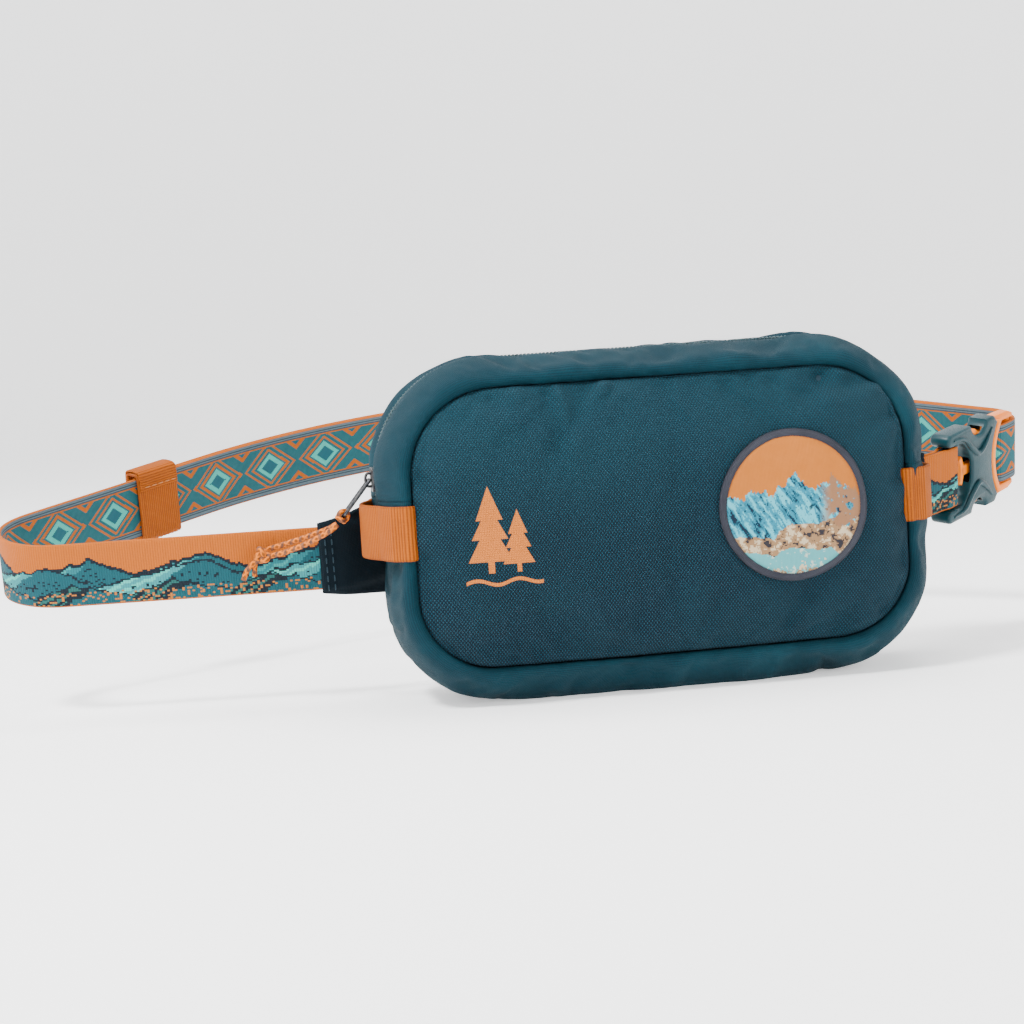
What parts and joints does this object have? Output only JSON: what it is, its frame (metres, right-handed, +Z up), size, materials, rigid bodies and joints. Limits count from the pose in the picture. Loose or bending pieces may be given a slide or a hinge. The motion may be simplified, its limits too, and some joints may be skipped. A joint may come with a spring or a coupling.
{
  "type": "waist pack",
  "caption": "Small rounded waist pack with a zipped top, side tape loops, round picture patch and a webbing belt with a side-release buckle and a sliding keeper.",
  "frame": {"origin": "under the middle of the pouch, on the surface that it stands on", "axes": "+X to the right along the pouch's face as seen from the front, -Y out of the front panel, +Z up"},
  "size_m": [0.4167, 0.2249, 0.126],
  "materials": {
    "canvas": "coarse plain weave, matt",
    "gusset_fabric": "smooth fine weave, slight sheen",
    "lining": "thin ripstop",
    "binding": "grosgrain",
    "zip_tape": "woven tape",
    "zip_coil": "nylon coil",
    "patch": "woven picture",
    "patch_border": "satin-stitched edge",
    "back_fabric": "spacer mesh",
    "foam": "closed-cell foam",
    "orange_tape": "ribbed webbing",
    "wing_fabric": "plain weave",
    "belt_webbing": "jacquard webbing",
    "buckle_teal": "moulded acetal, satin",
    "buckle_orange": "moulded acetal, satin",
    "gunmetal": "dark plated",
    "cord": "braided cord"
  },
  "bodies": {
    "pack": {"lower_gusset": "gusset_fabric", "lower_binding": "binding", "rear_gusset": "gusset_fabric", "rear_zip_tape": "zip_tape", "rear_zip_coil": "zip_coil", "back_panel": "back_fabric", "back_padding": "foam", "back_lining": "lining", "back_binding": "binding", "left_tab": "orange_tape", "right_tab": "orange_tape", "left_wing_outer": "wing_fabric", "left_wing_inner": "wing_fabric", "right_wing_outer": "wing_fabric", "right_wing_inner": "wing_fabric", "left_strap": "belt_webbing", "right_strap": "belt_webbing", "buckle_female": "buckle_teal"},
    "front_shell": {"front_panel": "canvas", "front_lining": "lining", "front_gusset": "gusset_fabric", "front_binding": "binding", "front_zip_tape": "zip_tape", "front_zip_coil": "zip_coil", "patch": "patch", "patch_border": "patch_border"},
    "slider": {"slider": "gunmetal"},
    "pull": {"puller": "gunmetal", "cord_hitch": "cord", "cord_front": "cord", "cord_rear": "cord", "cord_knot": "cord"},
    "belt": {"belt_webbing": "belt_webbing", "buckle_male": "buckle_orange"},
    "upper_prong": {"upper_prong": "buckle_orange"},
    "lower_prong": {"lower_prong": "buckle_orange"},
    "keeper": {"keeper": "orange_tape"}
  },
  "joints": [
    {"name": "mouth_open", "type": "hinge", "parent": "pack", "child": "front_shell", "pos_m": [0, -0.0365, 0.013], "axis": [1, 0, 0], "range_deg": [0, 12]},
    {"name": "zip_travel", "type": "hinge", "parent": "pack", "child": "slider", "pos_m": [-0.059, 0, 0.084], "axis": [0, 1, 0], "range_deg": [0, 80]},
    {"name": "pull_swing", "type": "hinge", "parent": "slider", "child": "pull", "pos_m": [-0.1035, 0, 0.084], "axis": [0, 1, 0], "range_deg": [-6, 95]},
    {"name": "buckle_release", "type": "slide", "parent": "pack", "child": "belt", "axis": [0.7615, 0.6287, 0.1576], "range_m": [0, 0.028]},
    {"name": "upper_prong_flex", "type": "hinge", "parent": "belt", "child": "upper_prong", "pos_m": [0.15054, 0.05029, 0.08045], "axis": [0.6475, -0.7493, -0.139], "range_deg": [0, 7], "stiffness_Nm_per_rad": 0.0005},
    {"name": "lower_prong_flex", "type": "hinge", "parent": "belt", "child": "lower_prong", "pos_m": [0.15124, 0.05507, 0.05796], "axis": [-0.6475, 0.7493, 0.139], "range_deg": [0, 7], "stiffness_Nm_per_rad": 0.0005},
    {"name": "keeper_slide", "type": "slide", "parent": "belt", "child": "keeper", "axis": [-0.7836, -0.6022, -0.1527], "range_m": [-0.015, 0.038]}
  ],
  "couplings": [
    {"joint": "lower_prong_flex", "follows": "upper_prong_flex", "ratio": 1}
  ]
}
